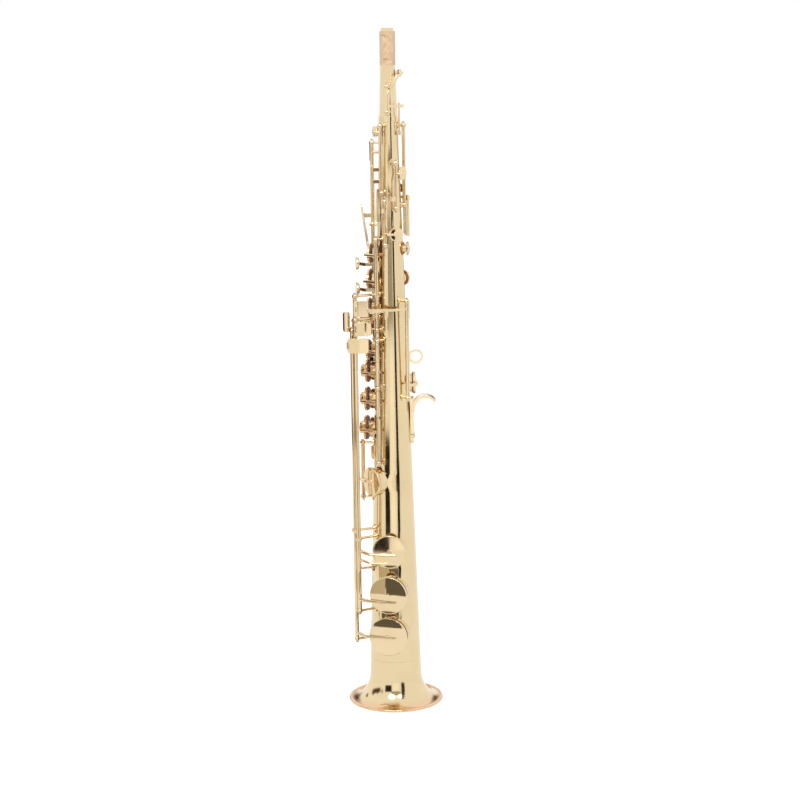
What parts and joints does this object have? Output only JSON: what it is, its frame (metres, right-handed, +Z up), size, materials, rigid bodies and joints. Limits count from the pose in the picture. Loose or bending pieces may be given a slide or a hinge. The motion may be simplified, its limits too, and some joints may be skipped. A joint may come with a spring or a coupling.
{
  "type": "soprano saxophone",
  "caption": "Straight soprano saxophone: conical brass body with flared bell, corked neck end, hinged padded keys with finger touches, strap ring and thumb hook.",
  "frame": {"origin": "on the bore axis, in the plane of the bell rim", "axes": "+Z up the bore towards the mouthpiece end, +X towards the player (thumb hook side), -Y the player's left, +Y the player's right"},
  "size_m": [0.091, 0.091, 0.645],
  "materials": {
    "body_brass": "polished and lacquered",
    "key_brass": "polished and lacquered",
    "steel": "ground rod",
    "pad_leather": "smooth brown kid leather",
    "pearl": "pearly, polished",
    "cork": "sanded cork"
  },
  "bodies": {
    "body": {"bell": "body_brass", "body_tube": "body_brass", "hinge_rods": "steel", "neck_collar": "key_brass", "neck_cork": "cork", "neck_tube": "body_brass", "posts": "key_brass", "strap_ring": "key_brass", "thumb_hook": "key_brass", "thumb_rest": "key_brass"},
    "low_bflat_key": {"low_bflat_key": "key_brass", "low_bflat_key_pad": "pad_leather"},
    "low_b_key": {"low_b_key": "key_brass", "low_b_key_pad": "pad_leather"},
    "low_csharp_key": {"low_csharp_key": "key_brass", "low_csharp_key_pad": "pad_leather"},
    "low_c_key": {"low_c_key": "key_brass", "low_c_key_pad": "pad_leather"},
    "low_eflat_key": {"low_eflat_key": "key_brass", "low_eflat_key_pad": "pad_leather"},
    "d_key": {"d_key": "key_brass", "d_key_pad": "pad_leather", "d_key_touch": "pearl"},
    "e_key": {"e_key": "key_brass", "e_key_pad": "pad_leather", "e_key_touch": "pearl"},
    "f_key": {"f_key": "key_brass", "f_key_pad": "pad_leather", "f_key_touch": "pearl"},
    "f_sharp_key": {"f_sharp_key": "key_brass", "f_sharp_key_pad": "pad_leather"},
    "g_key": {"g_key": "key_brass", "g_key_pad": "pad_leather", "g_key_touch": "pearl"},
    "a_key": {"a_key": "key_brass", "a_key_pad": "pad_leather", "a_key_touch": "pearl"},
    "b_key": {"b_key": "key_brass", "b_key_pad": "pad_leather", "b_key_touch": "pearl"},
    "g_sharp_lever": {"g_sharp_lever": "key_brass"},
    "g_sharp_key": {"g_sharp_key": "key_brass", "g_sharp_key_pad": "pad_leather"},
    "palm_d_key": {"palm_d_key": "key_brass", "palm_d_key_pad": "pad_leather"},
    "palm_eflat_key": {"palm_eflat_key": "key_brass", "palm_eflat_key_pad": "pad_leather"},
    "palm_f_key": {"palm_f_key": "key_brass", "palm_f_key_pad": "pad_leather"},
    "side_bflat_key": {"side_bflat_key": "key_brass", "side_bflat_key_pad": "pad_leather"},
    "side_c_key": {"side_c_key": "key_brass", "side_c_key_pad": "pad_leather"},
    "high_e_key": {"high_e_key": "key_brass", "high_e_key_pad": "pad_leather"},
    "octave_thumb_lever": {"octave_thumb_lever": "key_brass"},
    "neck_octave_key": {"neck_octave_key": "key_brass", "neck_octave_key_pad": "pad_leather"},
    "body_octave_key": {"body_octave_key": "key_brass", "body_octave_key_pad": "pad_leather"}
  },
  "joints": [
    {"name": "low_bflat_key_hinge", "type": "hinge", "parent": "body", "child": "low_bflat_key", "pos_m": [-0.0368, -0.016, 0.2155], "axis": [0, 0, 1], "range_deg": [0, 6.82], "stiffness_Nm_per_rad": 0.02, "springref_deg": -28.65},
    {"name": "low_b_key_hinge", "type": "hinge", "parent": "body", "child": "low_b_key", "pos_m": [-0.0336, -0.021, 0.23575], "axis": [0, 0, 1], "range_deg": [0, 7.74], "stiffness_Nm_per_rad": 0.02, "springref_deg": -28.65},
    {"name": "low_csharp_key_hinge", "type": "hinge", "parent": "body", "child": "low_csharp_key", "pos_m": [-0.035, -0.007, 0.2535], "axis": [0, 0, -1], "range_deg": [0, 6.18], "stiffness_Nm_per_rad": 0.02, "springref_deg": -28.65},
    {"name": "low_c_key_hinge", "type": "hinge", "parent": "body", "child": "low_c_key", "pos_m": [0.0162, 0.0232, 0.212], "axis": [0, 0, 1], "range_deg": [0, 9.66], "stiffness_Nm_per_rad": 0.02, "springref_deg": -28.65},
    {"name": "low_eflat_key_hinge", "type": "hinge", "parent": "body", "child": "low_eflat_key", "pos_m": [-0.0288, 0.0016, 0.2285], "axis": [0, 0, -1], "range_deg": [0, 9.99], "stiffness_Nm_per_rad": 0.02, "springref_deg": -28.65},
    {"name": "d_key_hinge", "type": "hinge", "parent": "body", "child": "d_key", "pos_m": [-0.0134, -0.0199, 0.2615], "axis": [0, 0, -1], "range_deg": [0, 7.41], "stiffness_Nm_per_rad": 0.02, "springref_deg": -28.65},
    {"name": "e_key_hinge", "type": "hinge", "parent": "body", "child": "e_key", "pos_m": [-0.0134, -0.0199, 0.29645], "axis": [0, 0, -1], "range_deg": [0, 6.92], "stiffness_Nm_per_rad": 0.02, "springref_deg": -28.65},
    {"name": "f_key_hinge", "type": "hinge", "parent": "body", "child": "f_key", "pos_m": [-0.0134, -0.0199, 0.3246], "axis": [0, 0, -1], "range_deg": [0, 6.68], "stiffness_Nm_per_rad": 0.02, "springref_deg": -28.65},
    {"name": "f_sharp_key_hinge", "type": "hinge", "parent": "body", "child": "f_sharp_key", "pos_m": [-0.0134, -0.0199, 0.34495], "axis": [0, 0, -1], "range_deg": [0, 5.96], "stiffness_Nm_per_rad": 0.02, "springref_deg": -28.65},
    {"name": "g_key_hinge", "type": "hinge", "parent": "body", "child": "g_key", "pos_m": [-0.0134, -0.0155, 0.38205], "axis": [0, 0, -1], "range_deg": [0, 7.73], "stiffness_Nm_per_rad": 0.02, "springref_deg": -28.65},
    {"name": "a_key_hinge", "type": "hinge", "parent": "body", "child": "a_key", "pos_m": [-0.0134, -0.0155, 0.4091], "axis": [0, 0, -1], "range_deg": [0, 7.14], "stiffness_Nm_per_rad": 0.02, "springref_deg": -28.65},
    {"name": "b_key_hinge", "type": "hinge", "parent": "body", "child": "b_key", "pos_m": [-0.0134, -0.0155, 0.43545], "axis": [0, 0, -1], "range_deg": [0, 6.85], "stiffness_Nm_per_rad": 0.02, "springref_deg": -28.65},
    {"name": "g_sharp_lever_hinge", "type": "hinge", "parent": "body", "child": "g_sharp_lever", "pos_m": [-0.0336, -0.021, 0.388], "axis": [0, 0, 1], "range_deg": [0, 6.9], "stiffness_Nm_per_rad": 0.02, "springref_deg": -28.65},
    {"name": "g_sharp_key_hinge", "type": "hinge", "parent": "body", "child": "g_sharp_key", "pos_m": [0.015, -0.017, 0.347], "axis": [0, 0, -1], "range_deg": [0, 8.71], "stiffness_Nm_per_rad": 0.02, "springref_deg": -28.65},
    {"name": "palm_d_key_hinge", "type": "hinge", "parent": "body", "child": "palm_d_key", "pos_m": [-0.0045, -0.017, 0.46625], "axis": [0, 0, -1], "range_deg": [0, 11.26], "stiffness_Nm_per_rad": 0.02, "springref_deg": -28.65},
    {"name": "palm_eflat_key_hinge", "type": "hinge", "parent": "body", "child": "palm_eflat_key", "pos_m": [0.006, -0.017, 0.501], "axis": [0, 0, -1], "range_deg": [0, 10.8], "stiffness_Nm_per_rad": 0.02, "springref_deg": -28.65},
    {"name": "palm_f_key_hinge", "type": "hinge", "parent": "body", "child": "palm_f_key", "pos_m": [-0.0078, -0.0128, 0.525], "axis": [0, 0, 1], "range_deg": [0, 10.91], "stiffness_Nm_per_rad": 0.02, "springref_deg": -28.65},
    {"name": "side_bflat_key_hinge", "type": "hinge", "parent": "body", "child": "side_bflat_key", "pos_m": [-0.00334, 0.02377, 0.3605], "axis": [0, 0, 1], "range_deg": [0, 5.96], "stiffness_Nm_per_rad": 0.02, "springref_deg": -28.65},
    {"name": "side_c_key_hinge", "type": "hinge", "parent": "body", "child": "side_c_key", "pos_m": [-0.00955, 0.02364, 0.3875], "axis": [0, 0, 1], "range_deg": [0, 5.34], "stiffness_Nm_per_rad": 0.02, "springref_deg": -28.65},
    {"name": "high_e_key_hinge", "type": "hinge", "parent": "body", "child": "high_e_key", "pos_m": [-0.01587, 0.02184, 0.4455], "axis": [0, 0, 1], "range_deg": [0, 4.9], "stiffness_Nm_per_rad": 0.02, "springref_deg": -28.65},
    {"name": "octave_thumb_lever_hinge", "type": "hinge", "parent": "body", "child": "octave_thumb_lever", "pos_m": [0.0139, 0, 0.519], "axis": [0, 0, 1], "range_deg": [0, 8.44], "stiffness_Nm_per_rad": 0.02, "springref_deg": -28.65},
    {"name": "neck_octave_key_hinge", "type": "hinge", "parent": "body", "child": "neck_octave_key", "pos_m": [-0.001, -0.0116, 0.58025], "axis": [0, 0, -1], "range_deg": [0, 5.93], "stiffness_Nm_per_rad": 0.02, "springref_deg": -28.65},
    {"name": "body_octave_key_hinge", "type": "hinge", "parent": "body", "child": "body_octave_key", "pos_m": [0.00414, 0.01545, 0.496], "axis": [0, 0, 1], "range_deg": [0, 7.45], "stiffness_Nm_per_rad": 0.02, "springref_deg": -28.65}
  ],
  "couplings": [
    {"joint": "g_sharp_key_hinge", "follows": "g_sharp_lever_hinge", "ratio": 1.26},
    {"joint": "neck_octave_key_hinge", "follows": "octave_thumb_lever_hinge", "ratio": 0.7},
    {"joint": "f_sharp_key_hinge", "follows": "f_key_hinge", "ratio": 0.8897}
  ]
}
